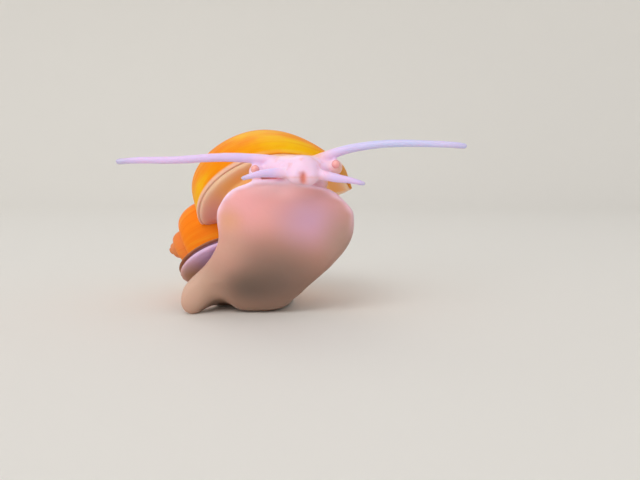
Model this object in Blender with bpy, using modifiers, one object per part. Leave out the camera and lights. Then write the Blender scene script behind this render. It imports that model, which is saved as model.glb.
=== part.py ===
"""An apple snail with a gold shell, life size, reared up so that its sole faces -Y.

Metres, +Z up, with the floor at z = 0. The rear of the foot lies flat on the floor, the
front of the foot stands up with the head above it, and the shell is carried behind.
"""

import math

import bmesh
import bpy
from mathutils import Matrix, Vector

MM = 0.001
GAP = 0.3 * MM

# The origin is this point on the flat of the foot that rests on the floor.
FRAME_ORIGIN = Vector((0.0, 12.0, 0.0)) * MM

# The shell is one tube that grows as it winds round its axis. Turns are counted back from the lip.
SHELL_APEX = Vector((-29.4, 26.0, 12.0)) * MM
SHELL_RISE = math.radians(18)
SHELL_ROLL = math.radians(55)
SHELL_WALL = 1.2 * MM
WHORL_RATIO = 2.3
WHORL_TURNS = 4.6
SECTION_OUT = 13.0 * MM
SECTION_DROP = 32.4 * MM
SECTION_HALF_WIDTH = 13.1 * MM
SECTION_HALF_HEIGHT = 19.3 * MM
SECTION_CURL = 3.0 * MM
SECTION_POINTS = 28
SECTION_INNERMOST = 0.5 * MM
FINE_TURNS = 1.5
FINE_STEP = math.radians(12)
COARSE_STEP = math.radians(20)
TONGUE_TURN = math.radians(2)
TONGUE_INSET = 0.02 * MM
RECESS_TURN = math.radians(48)
MOUTH_FACING = math.radians(30)
LIP_CAP = math.radians(22)
LIP_CAP_SWING = math.radians(7)
LIP_BLEND = math.radians(26)
LIP_REACH = SECTION_OUT + SECTION_HALF_WIDTH
MOUTH_SEARCH = math.radians(60)
COLUMELLA_RADIUS = 1.0 * MM
COLUMELLA_REACH = 0.8

# The foot, from its front edge at the top down to the bend and back along the floor:
# the sole's y and z, the left and right margins' x, and the thickness.
FOOT_STATIONS = (
    (-1.2, 30.7, -2.8, 5.4, 1.6),
    (-1.5, 28.5, -8.3, 13.6, 3.2),
    (-1.7, 26.0, -10.9, 17.3, 3.8),
    (-1.8, 23.0, -12.0, 19.2, 4.2),
    (-2.0, 17.0, -11.7, 18.4, 4.8),
    (-1.2, 11.0, -14.9, 14.2, 5.0),
    (0.8, 5.2, -20.4, 8.3, 5.0),
    (3.4, 0.6, -20.0, 3.6, 4.6),
    (12.0, -0.3, -15.5, 4.6, 4.0),
    (22.0, -0.3, -13.0, 4.6, 2.8),
    (35.0, -0.3, -6.0, 0.0, 2.2),
)
FOOT_STEPS = 3
FOOT_RING_POINTS = 32
FOOT_SQUARENESS = 0.62
LOBE_FORWARD = 3.0 * MM
LOBE_DROP = 1.8 * MM
ARCH_HEIGHT = 4.4 * MM
ARCH_CENTRE_X = -12.6 * MM
ARCH_HALF_WIDTH = 5.6 * MM
ARCH_DEPTH_Y = 16.0 * MM

BLOB_SEGMENTS = 18
BLOB_RINGS = 11

# Rounded masses of flesh: centre and radii in millimetres.
BODY_MASSES = (
    ((1.5, 4.5, 14.5), (11.5, 5.5, 9.5)),
    ((2.0, 8.5, 15.5), (10.6, 8.5, 10.0)),
    ((1.0, 12.5, 25.5), (13.5, 9.5, 9.3)),
    ((-3.0, 9.8, 6.5), (9.5, 9.0, 7.5)),
)
NECK_MASSES = (
    ((4.0, 7.0, 26.0), (9.0, 7.0, 7.0)),
    ((5.0, 6.0, 30.5), (8.5, 5.2, 4.5)),
)
HEAD_MASSES = (
    ((6.2, 1.2, 33.7), (8.8, 4.4, 2.9)),
    ((7.2, -0.8, 33.2), (5.2, 4.0, 3.2)),
    ((7.5, -2.6, 33.0), (3.9, 3.4, 3.3)),
    ((6.2, -4.2, 31.9), (2.1, 1.9, 2.2)),
    ((9.2, -4.2, 31.7), (2.1, 1.9, 2.2)),
)
EYE_LEFT = Vector((-2.9, -1.9, 33.2)) * MM
EYE_RIGHT = Vector((14.9, -1.6, 34.3)) * MM
EYE_RADIUS = 0.95 * MM
EYE_STALK_RADIUS = 1.7 * MM
MOUTH_CENTRE = Vector((7.8, -6.2, 31.2)) * MM
MOUTH_RADII = Vector((0.5, 1.5, 1.2)) * MM

OPERCULUM_CENTRE = Vector((-12.5, 9.8, 12.4)) * MM
OPERCULUM_LONG = Vector((0.96, 0.05, 0.22))
OPERCULUM_OUT = Vector((-0.25, 0.72, 0.65))
OPERCULUM_HALF_LENGTH = 10.4 * MM
OPERCULUM_HALF_WIDTH = 7.6 * MM
OPERCULUM_THICKNESS = 0.9 * MM
OPERCULUM_DISH = 1.0 * MM
OPERCULUM_POINTS = 32
PAD_HALF_LENGTH = 10.1 * MM
PAD_HALF_WIDTH = 7.3 * MM
PAD_THICKNESS = 2.6 * MM
PAD_BACK = 2.1 * MM

# Feelers: points along the middle in millimetres, and the radius at the root and the tip.
TENTACLE_LEFT = (
    (4.0, 0.4, 34.8), (-2.9, -0.2, 35.6), (-10.8, -1.6, 35.8),
    (-20.0, -2.6, 35.2), (-28.4, -3.0, 35.1), (-33.2, -3.0, 34.8),
)
TENTACLE_RIGHT = (
    (10.0, 0.8, 35.0), (13.9, 0.5, 36.6), (19.5, 0.0, 38.1), (27.9, -1.0, 38.9),
    (39.0, -2.0, 38.6), (43.7, -2.0, 38.2),
)
TENTACLE_RADII = (1.3 * MM, 0.6 * MM)
PALP_LEFT = ((4.4, -3.2, 32.4), (0.1, -4.6, 32.3), (-2.5, -5.4, 31.9), (-5.6, -6.0, 31.0))
PALP_RIGHT = ((10.6, -3.2, 32.2), (15.2, -4.2, 31.2), (18.2, -4.4, 30.7), (21.4, -4.4, 29.9))
PALP_RADII = (1.25 * MM, 0.45 * MM)
FEELER_SIDES = 10
FEELER_STEPS = 5

FLESH_VOXEL = 0.75 * MM
FLESH_SMOOTHING = 6
FLESH_KEPT = 0.19

# Thin cuts that part the flesh: the low and high corners of each, in millimetres.
CUT = GAP / MM / 2
BACK_OF_SOLE = 4.2
SOLE_SEAM = 15.6
BODY_SEAM = 7.5
LID_SEAM_X = -9.0
LID_SEAM_Z = 4.6
FAR = 60.0
FLESH_CUTS = (
    ((-FAR, BACK_OF_SOLE - CUT, -FAR), (FAR, BACK_OF_SOLE + CUT, FAR)),
    ((-FAR, -FAR, SOLE_SEAM - CUT), (FAR, BACK_OF_SOLE, SOLE_SEAM + CUT)),
    ((LID_SEAM_X, BACK_OF_SOLE, BODY_SEAM - CUT), (FAR, FAR, BODY_SEAM + CUT)),
    ((LID_SEAM_X - CUT, BACK_OF_SOLE, LID_SEAM_Z - CUT), (LID_SEAM_X + CUT, 20.0, 18.0)),
    ((-FAR, BACK_OF_SOLE, LID_SEAM_Z - CUT), (LID_SEAM_X + CUT, 20.0, LID_SEAM_Z + CUT)),
)
MANTLE_OUT = 0.3 * MM
MANTLE_SWELL = 0.4 * MM
LIP_SEAM_OUT = 0.8 * MM
LIP_SEAM_REACH = 21.0 * MM
HEAD_SEAM = 30.5
HEAD_SEAM_TILT = math.radians(7)

# A point at the surface of each node of flesh, in millimetres.
FLESH_NODES = {
    "foot_front": (6.0, -2.0, 24.0),
    "foot_middle": (0.0, -2.0, 10.0),
    "foot_rear": (-5.0, 20.0, 0.0),
    "body": (14.0, 8.0, 19.0),
    "mantle": (8.0, 24.0, 38.0),
    "head": (7.5, -3.0, 36.3),
    "opercular_lobe": (-19.0, 8.0, 9.0),
}


def clear_scene():
    for obj in list(bpy.data.objects):
        bpy.data.objects.remove(obj)


def collection(name):
    made = bpy.data.collections.new(name)
    bpy.context.scene.collection.children.link(made)
    return made


def material(name, colour, roughness):
    made = bpy.data.materials.new(name)
    made.use_nodes = True
    shader = made.node_tree.nodes["Principled BSDF"]
    shader.inputs["Base Color"].default_value = (*colour, 1.0)
    shader.inputs["Roughness"].default_value = roughness
    shader.inputs["Metallic"].default_value = 0.0
    return made


def object_from(name, mesh_maker, group):
    """A new object in the group from a bmesh that it closes."""
    mesh = bpy.data.meshes.new(name)
    bmesh.ops.recalc_face_normals(mesh_maker, faces=mesh_maker.faces[:])
    mesh_maker.to_mesh(mesh)
    mesh_maker.free()
    made = bpy.data.objects.new(name, mesh)
    group.objects.link(made)
    return made


def loft(name, rings, group):
    """A closed skin over rings of equal counts of points."""
    maker = bmesh.new()
    rows = [[maker.verts.new(point) for point in ring] for ring in rings]
    count = len(rings[0])
    for low, high in zip(rows, rows[1:]):
        for i in range(count):
            j = (i + 1) % count
            maker.faces.new((low[i], low[j], high[j], high[i]))
    maker.faces.new(rows[0][::-1])
    maker.faces.new(rows[-1])
    bmesh.ops.triangulate(maker, faces=[face for face in maker.faces if len(face.verts) > 4])
    return object_from(name, maker, group)


def blob(name, centre, radii, group):
    """An ellipsoid."""
    maker = bmesh.new()
    bmesh.ops.create_uvsphere(maker, u_segments=BLOB_SEGMENTS, v_segments=BLOB_RINGS, radius=1.0)
    shape = Matrix.Diagonal((*radii, 1.0))
    bmesh.ops.transform(maker, matrix=Matrix.Translation(centre) @ shape, verts=maker.verts)
    return object_from(name, maker, group)


def block(name, low, high, group):
    maker = bmesh.new()
    bmesh.ops.create_cube(maker, size=1.0)
    low = Vector(low)
    high = Vector(high)
    size = Matrix.Diagonal((*(high - low), 1.0))
    bmesh.ops.transform(maker, matrix=Matrix.Translation((low + high) / 2) @ size, verts=maker.verts)
    return object_from(name, maker, group)


def apply_modifiers(obj):
    graph = bpy.context.evaluated_depsgraph_get()
    mesh = bpy.data.meshes.new_from_object(obj.evaluated_get(graph))
    obj.modifiers.clear()
    obj.data = mesh


def combine(obj, others, operation):
    """One Boolean of the object with a group of others, which are then removed."""
    group = bpy.data.collections.new("operands")
    bpy.context.scene.collection.children.link(group)
    for other in others:
        for home in list(other.users_collection):
            home.objects.unlink(other)
        group.objects.link(other)
    step = obj.modifiers.new("combine", "BOOLEAN")
    step.operation = operation
    step.operand_type = "COLLECTION"
    step.collection = group
    step.solver = "MANIFOLD"
    apply_modifiers(obj)
    for other in others:
        bpy.data.objects.remove(other)
    bpy.data.collections.remove(group)
    return obj


def union(name, pieces):
    first = pieces[0]
    first.name = name
    return combine(first, pieces[1:], "UNION")


def islands(maker):
    """The bmesh's separate closed surfaces, each as a set of vertices."""
    left = set(maker.verts)
    found = []
    while left:
        start = left.pop()
        reached = {start}
        edge_of = [start]
        while edge_of:
            vert = edge_of.pop()
            for edge in vert.link_edges:
                other = edge.other_vert(vert)
                if other in left:
                    left.discard(other)
                    reached.add(other)
                    edge_of.append(other)
        found.append(reached)
    return found


def keep_largest(obj):
    maker = bmesh.new()
    maker.from_mesh(obj.data)
    found = sorted(islands(maker), key=len)
    scraps = [vert for island in found[:-1] for vert in island]
    bmesh.ops.delete(maker, geom=scraps, context="VERTS")
    maker.to_mesh(obj.data)
    maker.free()
    return obj


def take_islands(source, seeds, group):
    """One object for each named seed point: the surface of the source nearest to it."""
    made = {}
    for name, seed in seeds.items():
        maker = bmesh.new()
        maker.from_mesh(source.data)
        target = Vector(seed) * MM
        nearest = min(islands(maker), key=lambda one: min((v.co - target).length for v in one))
        scraps = [vert for vert in maker.verts if vert not in nearest]
        bmesh.ops.delete(maker, geom=scraps, context="VERTS")
        mesh = bpy.data.meshes.new(name)
        maker.to_mesh(mesh)
        maker.free()
        made[name] = bpy.data.objects.new(name, mesh)
        group.objects.link(made[name])
    return made


def smooth_path(points, steps):
    """Points on a Catmull-Rom curve through the given rows of numbers."""
    rows = [Vector(row) for row in points]
    rows = [2 * rows[0] - rows[1], *rows, 2 * rows[-1] - rows[-2]]
    path = []
    for a, b, c, d in zip(rows, rows[1:], rows[2:], rows[3:]):
        for step in range(steps):
            t = step / steps
            path.append(
                0.5 * (2 * b + (c - a) * t + (2 * a - 5 * b + 4 * c - d) * t * t
                       + (3 * b - 3 * c + d - a) * t * t * t)
            )
    path.append(rows[-2])
    return path


def frame_of(axis_x, axis_z):
    """A rotation whose X and Z columns follow the two directions."""
    z = Vector(axis_z).normalized()
    x = Vector(axis_x) - z * Vector(axis_x).dot(z)
    x.normalize()
    return Matrix((x, z.cross(x), z)).transposed()


def shell_axes():
    """Unit vectors: to the top of the shell, away from -Y, and up the axis to the apex."""
    up = Vector((-math.sin(SHELL_RISE), 0.0, math.cos(SHELL_RISE)))
    away = Vector((0.0, 1.0, 0.0))
    to_apex = Vector((-math.cos(SHELL_RISE), 0.0, -math.sin(SHELL_RISE)))
    return up, away, to_apex


def whorl_point(turn, angle, inset):
    """The tube's point at this turn of the axis and this angle round its section."""
    up, away, to_apex = shell_axes()
    growth = WHORL_RATIO ** (min(turn, 0.0) / math.tau)
    around = -SHELL_ROLL - turn
    outward = math.cos(around) * up + math.sin(around) * away
    across = (SECTION_HALF_WIDTH * growth - inset) * math.cos(angle)
    along = (SECTION_HALF_HEIGHT * growth - inset) * math.sin(angle)
    curl = SECTION_CURL * growth * max(0.0, math.sin(angle)) ** 2
    radius = max(SECTION_OUT * growth + across - curl, SECTION_INNERMOST * growth)
    return SHELL_APEX + outward * radius - to_apex * (SECTION_DROP * growth + along)


def mouth_normal():
    up, away, to_apex = shell_axes()
    return -math.sin(MOUTH_FACING) * up - math.cos(MOUTH_FACING) * away


def lip_turn(angle):
    """How far on the lip stands along this line of the tube.

    It lies in the mouth plane where the line reaches it, and blends into a cap where it doesn't.
    """
    normal = mouth_normal()
    start = whorl_point(0.0, 0.0, 0.0)
    low, high = -MOUTH_SEARCH, MOUTH_SEARCH
    for _ in range(20):
        plane = (low + high) / 2
        if (whorl_point(plane, angle, 0.0) - start).dot(normal) < 0.0:
            low = plane
        else:
            high = plane
    cap = LIP_CAP + LIP_CAP_SWING * math.sin(angle)
    near = max(0.0, 1.0 - abs(plane - cap) / LIP_BLEND)
    return min(plane, cap) - near * near * LIP_BLEND / 4


def whorl_section(turn, inset):
    """The tube's ring this far on from the lip, parallel to it and drawn in by the inset."""
    angles = [math.tau * i / SECTION_POINTS for i in range(SECTION_POINTS)]
    return [whorl_point(lip_turn(angle) + turn, angle, inset) for angle in angles]


def turns_between(start, end, step):
    count = max(2, math.ceil((end - start) / step))
    return [start + (end - start) * i / count for i in range(count + 1)]


def whorl_piece(name, start, end, step, inset, group, tongue=False):
    """A length of the tube; a tongue of it reaches on inside the length before."""
    rings = [whorl_section(turn, inset) for turn in turns_between(start, end, step)]
    if tongue:
        rings.insert(0, whorl_section(start - TONGUE_TURN, inset + TONGUE_INSET))
    return loft(name, rings, group)


def columella(name, grow, group):
    """The solid pillar on the axis, from the apex to the base."""
    to_apex = shell_axes()[2]
    drop = SECTION_DROP * COLUMELLA_REACH
    maker = bmesh.new()
    bmesh.ops.create_cone(
        maker, cap_ends=True, segments=16, radius1=COLUMELLA_RADIUS + grow,
        radius2=0.2 * MM + grow, depth=drop
    )
    turn = to_apex.to_track_quat("Z", "Y").to_matrix().to_4x4()
    place = Matrix.Translation(SHELL_APEX - to_apex * drop / 2)
    bmesh.ops.transform(maker, matrix=place @ turn, verts=maker.verts)
    return object_from(name, maker, group)


def mouth_slab(name, group):
    """A thin slab just before the mouth plane, which parts the mantle from the body."""
    up, away, to_apex = shell_axes()
    normal = mouth_normal()
    lip = whorl_point(0.0, 0.0, 0.0)
    across = math.cos(MOUTH_FACING) * up - math.sin(MOUTH_FACING) * away
    middle = lip - SECTION_HALF_WIDTH * across
    low = Vector((-LIP_SEAM_REACH, -LIP_SEAM_REACH, LIP_SEAM_OUT - GAP))
    slab = block(name, low, (LIP_SEAM_REACH, LIP_SEAM_REACH, LIP_SEAM_OUT), group)
    turn = frame_of(to_apex, normal).to_4x4()
    slab.data.transform(Matrix.Translation(middle) @ turn)
    return slab


def make_shell(name, grow, group):
    """The shell with the hollow behind its lip; grow swells every wall by that much."""
    last = -math.tau / 3
    end = -math.tau * WHORL_TURNS
    lip = grow / LIP_REACH
    outer = whorl_piece(name, last, lip, FINE_STEP, -grow, group, tongue=True)
    recess = whorl_piece("recess", -RECESS_TURN, FINE_STEP, FINE_STEP, SHELL_WALL + grow, group)
    combine(outer, [recess], "DIFFERENCE")
    pieces = [keep_largest(outer)]
    while last > end + 1e-6:
        first = max(last - math.tau / 3, end)
        step = FINE_STEP if last > -math.tau * FINE_TURNS else COARSE_STEP
        pieces.append(whorl_piece("whorl", first, last, step, -grow, group, tongue=True))
        last = first
    pieces.append(columella("columella", grow, group))
    return keep_largest(union(name, pieces))


def mantle_plug(name, group):
    """Flesh that fills the hollow behind the lip, with a front that closes the mouth."""
    turns = turns_between(-RECESS_TURN + TONGUE_TURN, MANTLE_OUT / LIP_REACH, FINE_STEP)
    rings = [whorl_section(turn, SHELL_WALL + GAP) for turn in turns]
    edge = rings[-1]
    normal = mouth_normal()
    middle = sum(edge, Vector()) / len(edge)
    behind = (whorl_point(0.0, 0.0, 0.0) - middle).dot(normal)
    middle += normal * (behind + MANTLE_SWELL)
    for share in (0.35, 0.7):
        rings.append([point.lerp(middle, share) for point in edge])
    return loft(name, rings, group)


def signed_power(value, power):
    return math.copysign(abs(value) ** power, value)


def foot_slab(name, group):
    """The foot's sheet of muscle, bent from the upright front to the rear on the floor."""
    rows = smooth_path(FOOT_STATIONS, FOOT_STEPS)
    rings = []
    for i, row in enumerate(rows):
        before = rows[max(i - 1, 0)]
        after = rows[min(i + 1, len(rows) - 1)]
        travel = Vector((0.0, after[0] - before[0], after[1] - before[1])).normalized()
        dorsal = Vector((0.0, -travel.z, travel.y))
        left, right, thickness = row[2], row[3], row[4]
        ring = []
        for j in range(FOOT_RING_POINTS):
            angle = math.tau * j / FOOT_RING_POINTS
            across = signed_power(math.cos(angle), FOOT_SQUARENESS)
            depth = signed_power(math.sin(angle), FOOT_SQUARENESS)
            point = Vector(((left + right) / 2 + across * (right - left) / 2, row[0], row[1]))
            point += dorsal * (1 + depth) * thickness / 2
            ring.append(foot_bend(point * MM, across))
        rings.append(ring)
    return loft(name, rings, group)


def foot_bend(point, across):
    """Brings the left lobe forward and lifts the arch between the lobe and the bulge."""
    low = max(0.0, 1.0 - point.z / (9.0 * MM))
    left = max(0.0, -across) ** 2
    point.y -= LOBE_FORWARD * low * left
    point.z -= LOBE_DROP * low * left
    near = max(0.0, 1.0 - max(point.y, 0.0) / ARCH_DEPTH_Y)
    side = max(0.0, 1.0 - ((point.x - ARCH_CENTRE_X) / ARCH_HALF_WIDTH) ** 2)
    point.z += ARCH_HEIGHT * side * side * near * max(0.0, 1.0 - point.z / (8.0 * MM))
    return point


def egg_dish(name, back, half_length, half_width, half_thick, group):
    """An egg-shaped dish this far behind the lid's place."""
    turn = frame_of(OPERCULUM_LONG, OPERCULUM_OUT)
    profile = ((0.45, 1.0), (0.8, 1.0), (0.97, 0.75), (1.0, 0.0),
               (0.97, -0.75), (0.8, -1.0), (0.45, -1.0))
    rings = []
    for reach, side in profile:
        ring = []
        for i in range(OPERCULUM_POINTS):
            angle = math.tau * i / OPERCULUM_POINTS
            x = half_length * reach * math.cos(angle)
            y = half_width * reach * math.sin(angle) * (1 + 0.12 * math.cos(angle))
            z = half_thick * side - OPERCULUM_DISH * reach * reach - back
            ring.append(OPERCULUM_CENTRE + turn @ Vector((x, y, z)))
        rings.append(ring)
    return loft(name, rings, group)


def operculum_plate(name, grow, group):
    """The thin horny lid; grow swells it to cut the flesh clear of it."""
    return egg_dish(name, 0.0, OPERCULUM_HALF_LENGTH + grow, OPERCULUM_HALF_WIDTH + grow,
                    OPERCULUM_THICKNESS / 2 + grow, group)


def make_flesh(group):
    """All the soft body that is thicker than a feeler, as one smooth closed form."""
    pad = egg_dish("pad", PAD_BACK, PAD_HALF_LENGTH, PAD_HALF_WIDTH, PAD_THICKNESS / 2, group)
    pieces = [foot_slab("flesh", group), pad]
    for centre, radii in BODY_MASSES + NECK_MASSES + HEAD_MASSES:
        pieces.append(blob("mass", Vector(centre) * MM, Vector(radii) * MM, group))
    for eye in (EYE_LEFT, EYE_RIGHT):
        root = eye + Vector((0.0, 1.4, -0.6)) * MM
        radii = Vector((1.0, 1.25, 1.1)) * EYE_STALK_RADIUS
        pieces.append(blob("stalk", root, radii, group))
    pieces.append(mantle_plug("mantle", group))
    flesh = union("flesh", pieces)
    remesh = flesh.modifiers.new("melt", "REMESH")
    remesh.mode = "VOXEL"
    remesh.voxel_size = FLESH_VOXEL
    smooth = flesh.modifiers.new("soften", "SMOOTH")
    smooth.iterations = FLESH_SMOOTHING
    smooth.factor = 0.5
    thin = flesh.modifiers.new("thin", "DECIMATE")
    thin.ratio = FLESH_KEPT
    apply_modifiers(flesh)
    return keep_largest(flesh)


def feeler(name, points, radii, start, end, group):
    """A tapered length of a feeler, between two shares of its path."""
    path = smooth_path(points, FEELER_STEPS)
    path = [point * MM for point in path]
    last = len(path) - 1
    low = round(start * last)
    high = round(end * last)
    rings = []
    for i in range(low, high + 1):
        share = i / last
        before = path[max(i - 1, 0)]
        after = path[min(i + 1, last)]
        along = (after - before).normalized()
        radius = radii[0] + (radii[1] - radii[0]) * share
        centre = path[i].copy()
        if i == low and low > 0:
            centre += along * GAP / 2
        if i == high and high < last:
            centre -= along * GAP / 2
        turn = along.to_track_quat("Z", "Y").to_matrix()
        ring = []
        for j in range(FEELER_SIDES):
            angle = math.tau * j / FEELER_SIDES
            ring.append(centre + turn @ Vector((math.cos(angle), math.sin(angle), 0.0)) * radius)
        rings.append(ring)
    if high == last:
        tip = path[last]
        blunt = list(rings[-1])
        for reach, share in ((0.6, 0.7), (0.9, 0.3)):
            ring = [tip + along * radii[1] * reach + (point - tip) * share for point in blunt]
            rings.append(ring)
    return loft(name, rings, group)


def grown_copy(obj, group):
    """A copy swollen by the gap, to cut a neighbour clear of it."""
    copy = bpy.data.objects.new("clearance", obj.data.copy())
    group.objects.link(copy)
    swell = copy.modifiers.new("swell", "DISPLACE")
    swell.strength = GAP
    swell.mid_level = 0.0
    apply_modifiers(copy)
    return copy


def dress(obj, look):
    obj.data.materials.clear()
    obj.data.materials.append(look)
    obj.data.shade_smooth()


def make_feelers(head, group):
    """The tentacles in three lengths each, and the lip palps."""
    made = {}
    lengths = (("root", 0.0, 0.32), ("middle", 0.32, 0.68), ("tip", 0.68, 1.0))
    for side, points in (("left", TENTACLE_LEFT), ("right", TENTACLE_RIGHT)):
        for length, start, end in lengths:
            name = f"tentacle_{side}_{length}"
            made[name] = feeler(name, points, TENTACLE_RADII, start, end, group)
    for side, points in (("left", PALP_LEFT), ("right", PALP_RIGHT)):
        name = f"palp_{side}"
        made[name] = feeler(name, points, PALP_RADII, 0.0, 1.0, group)
    for name, piece in made.items():
        if name.endswith("root") or name.startswith("palp"):
            combine(piece, [grown_copy(head, group)], "DIFFERENCE")
            keep_largest(piece)
    return made


def head_seam(name, group):
    """The thin cut between the head and the foot's front edge; it falls towards +X."""
    low = Vector((-FAR, -FAR, -CUT)) * MM
    high = Vector((FAR, BACK_OF_SOLE, CUT)) * MM
    seam = block(name, low, high, group)
    turn = Matrix.Rotation(HEAD_SEAM_TILT, 4, "Y")
    seam.data.transform(Matrix.Translation((0.0, 0.0, HEAD_SEAM * MM)) @ turn)
    return seam


def part_flesh(flesh, group):
    """Cuts the flesh clear of the hard parts and divides it into its named nodes."""
    cutters = [
        make_shell("shell_clearance", GAP, group),
        operculum_plate("operculum_clearance", GAP, group),
        blob("mouth", MOUTH_CENTRE, MOUTH_RADII, group),
        block("floor", Vector((-FAR, -FAR, -FAR)) * MM, Vector((FAR, FAR, 0.0)) * MM, group),
    ]
    for eye in (EYE_LEFT, EYE_RIGHT):
        cutters.append(blob("eye_clearance", eye, [EYE_RADIUS + GAP] * 3, group))
    for cutter in cutters:
        combine(flesh, [cutter], "DIFFERENCE")
    keep_largest(flesh)
    for low, high in FLESH_CUTS:
        seam = block("seam", Vector(low) * MM, Vector(high) * MM, group)
        combine(flesh, [seam], "DIFFERENCE")
    combine(flesh, [mouth_slab("lip_seam", group)], "DIFFERENCE")
    combine(flesh, [head_seam("head_seam", group)], "DIFFERENCE")
    nodes = take_islands(flesh, FLESH_NODES, group)
    bpy.data.objects.remove(flesh)
    return nodes


def build():
    clear_scene()
    snail = collection("apple_snail")
    shell = make_shell("shell", 0.0, snail)
    operculum = operculum_plate("operculum", 0.0, snail)
    soft = part_flesh(make_flesh(snail), snail)
    soft.update(make_feelers(soft["head"], snail))
    eyes = [
        blob("eye_left", EYE_LEFT, [EYE_RADIUS] * 3, snail),
        blob("eye_right", EYE_RIGHT, [EYE_RADIUS] * 3, snail),
    ]
    dress(shell, material("shell_gold", (0.9, 0.42, 0.05), 0.35))
    dress(operculum, material("operculum_horn", (0.25, 0.12, 0.06), 0.45))
    flesh_look = material("flesh_pink", (0.8, 0.55, 0.55), 0.5)
    for piece in soft.values():
        dress(piece, flesh_look)
    eye_look = material("eye_pink", (0.75, 0.25, 0.25), 0.15)
    for eye in eyes:
        dress(eye, eye_look)
    place = bpy.data.objects.new("apple_snail_place", None)
    snail.objects.link(place)
    place.location = -FRAME_ORIGIN
    for piece in [shell, operculum, *soft.values(), *eyes]:
        piece.parent = place


build()
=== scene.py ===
# %% [markdown]
# # A gold apple snail
#
# An apple snail is a soft animal with a coiled shell. This one has reared up: the rear of its
# foot lies on the floor, the front of its foot stands up like a page, and the head looks over the
# top. We make it in the order a model maker would: the hard shell, the soft body, the lid and
# the eyes, and then the finishes, the light and the camera.
#
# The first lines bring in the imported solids. They are the frame: every piece below goes where a
# solid already stands, so that the finished model keeps its size.

import math

import bmesh
import bpy
from mathutils import Matrix, Vector
from mathutils.kdtree import KDTree


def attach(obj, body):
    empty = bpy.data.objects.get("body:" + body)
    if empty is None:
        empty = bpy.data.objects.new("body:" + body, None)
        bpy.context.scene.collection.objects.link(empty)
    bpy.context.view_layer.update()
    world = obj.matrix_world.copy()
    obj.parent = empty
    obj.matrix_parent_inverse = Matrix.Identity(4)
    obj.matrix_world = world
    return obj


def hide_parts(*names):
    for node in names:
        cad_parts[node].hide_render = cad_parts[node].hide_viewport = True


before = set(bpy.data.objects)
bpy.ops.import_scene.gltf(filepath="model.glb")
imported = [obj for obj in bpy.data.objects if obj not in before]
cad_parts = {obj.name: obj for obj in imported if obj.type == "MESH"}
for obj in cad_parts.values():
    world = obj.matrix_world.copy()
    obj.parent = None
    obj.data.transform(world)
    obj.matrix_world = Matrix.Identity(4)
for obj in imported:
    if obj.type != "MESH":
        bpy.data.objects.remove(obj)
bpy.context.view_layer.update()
MM = 0.001
print("solids:", ", ".join(sorted(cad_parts)))

# %% [markdown]
# ## Where things are
#
# The sizes are millimetres, with the animal's left to right along X, its sole facing -Y and Z up.
# The frame's origin lies 12 mm behind the sole, in the middle of the part of the foot that rests
# on the floor, so each finished mesh is moved back by that much, in one helper.

# %% Place and helpers
FRAME_ORIGIN = Vector((0.0, 12.0, 0.0)) * MM


def piece_from(name, maker):
    """Turns a bmesh into a finished piece that stands in the frame."""
    maker.normal_update()
    mesh = bpy.data.meshes.new(name)
    maker.to_mesh(mesh)
    maker.free()
    mesh.transform(Matrix.Translation(-FRAME_ORIGIN))
    mesh.shade_smooth()
    made = bpy.data.objects.new(name, mesh)
    bpy.context.scene.collection.objects.link(made)
    return made


def apply_modifiers(obj):
    graph = bpy.context.evaluated_depsgraph_get()
    mesh = bpy.data.meshes.new_from_object(obj.evaluated_get(graph))
    obj.modifiers.clear()
    obj.data = mesh


def soft_step(low, high, value):
    """0 below low, 1 above high, and a smooth rise between."""
    share = min(max((value - low) / (high - low), 0.0), 1.0)
    return share * share * (3.0 - 2.0 * share)


# %% [markdown]
# ## A sheet that bends into any form
#
# Many natural forms are one sheet wound into a tube or folded over an edge. Rather than placing
# points one by one, we make a flat grid with `bmesh.ops.create_grid`, keep its flat places as
# texture coordinates, and bend it with a small function. Merging doubles then closes the seam
# of a tube and the pole where a row shrinks to one point.

# %% Bent sheet
def bent_sheet(columns, rows, place):
    """A bmesh grid whose point at (u, v), each from 0 to 1, is moved to place(u, v)."""
    maker = bmesh.new()
    flat = maker.loops.layers.uv.new("UVMap")
    bmesh.ops.create_grid(maker, x_segments=columns, y_segments=rows, size=0.5)
    for face in maker.faces:
        for loop in face.loops:
            loop[flat].uv = (loop.vert.co.x + 0.5, loop.vert.co.y + 0.5)
    for vert in maker.verts:
        vert.co = place(vert.co.x + 0.5, vert.co.y + 0.5)
    bmesh.ops.remove_doubles(maker, verts=maker.verts, dist=0.002 * MM)
    return maker


# %% [markdown]
# ## The shell
#
# A snail's shell is one tube that grows as it winds. Every step turns it a little about the axis
# and enlarges it by the same ratio, so the whole spiral comes from one cross-section and one
# ratio: 2.3 times wider with each full turn. The axis here rises 18 degrees to the right, with
# the apex low on the left.
#
# The tube ends in a slanting plane, the mouth. A real shell adds its new edge all round the mouth
# at once, so the growth lines run parallel to the lip. We get the same by starting each
# column of the grid where it meets the mouth plane and counting the turn back from there.

# %% Shell sizes
SHELL_APEX = Vector((-29.4, 26.0, 12.0)) * MM
SHELL_RISE = math.radians(18)
SHELL_ROLL = math.radians(55)
SHELL_WALL = 1.2 * MM
WHORL_RATIO = 2.3
WHORL_TURNS = 4.6
SECTION_OUT = 13.0 * MM
SECTION_DROP = 32.4 * MM
SECTION_HALF_WIDTH = 13.1 * MM
SECTION_HALF_HEIGHT = 19.3 * MM
SECTION_CURL = 3.0 * MM
SECTION_INNERMOST = 0.5 * MM
RECESS_TURN = math.radians(48)
MOUTH_FACING = math.radians(30)
MOUTH_SEARCH = math.radians(60)
MOUTH_HALVINGS = 24

AXIS_UP = Vector((-math.sin(SHELL_RISE), 0.0, math.cos(SHELL_RISE)))
AXIS_AWAY = Vector((0.0, 1.0, 0.0))
TO_APEX = Vector((-math.cos(SHELL_RISE), 0.0, -math.sin(SHELL_RISE)))


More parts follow.
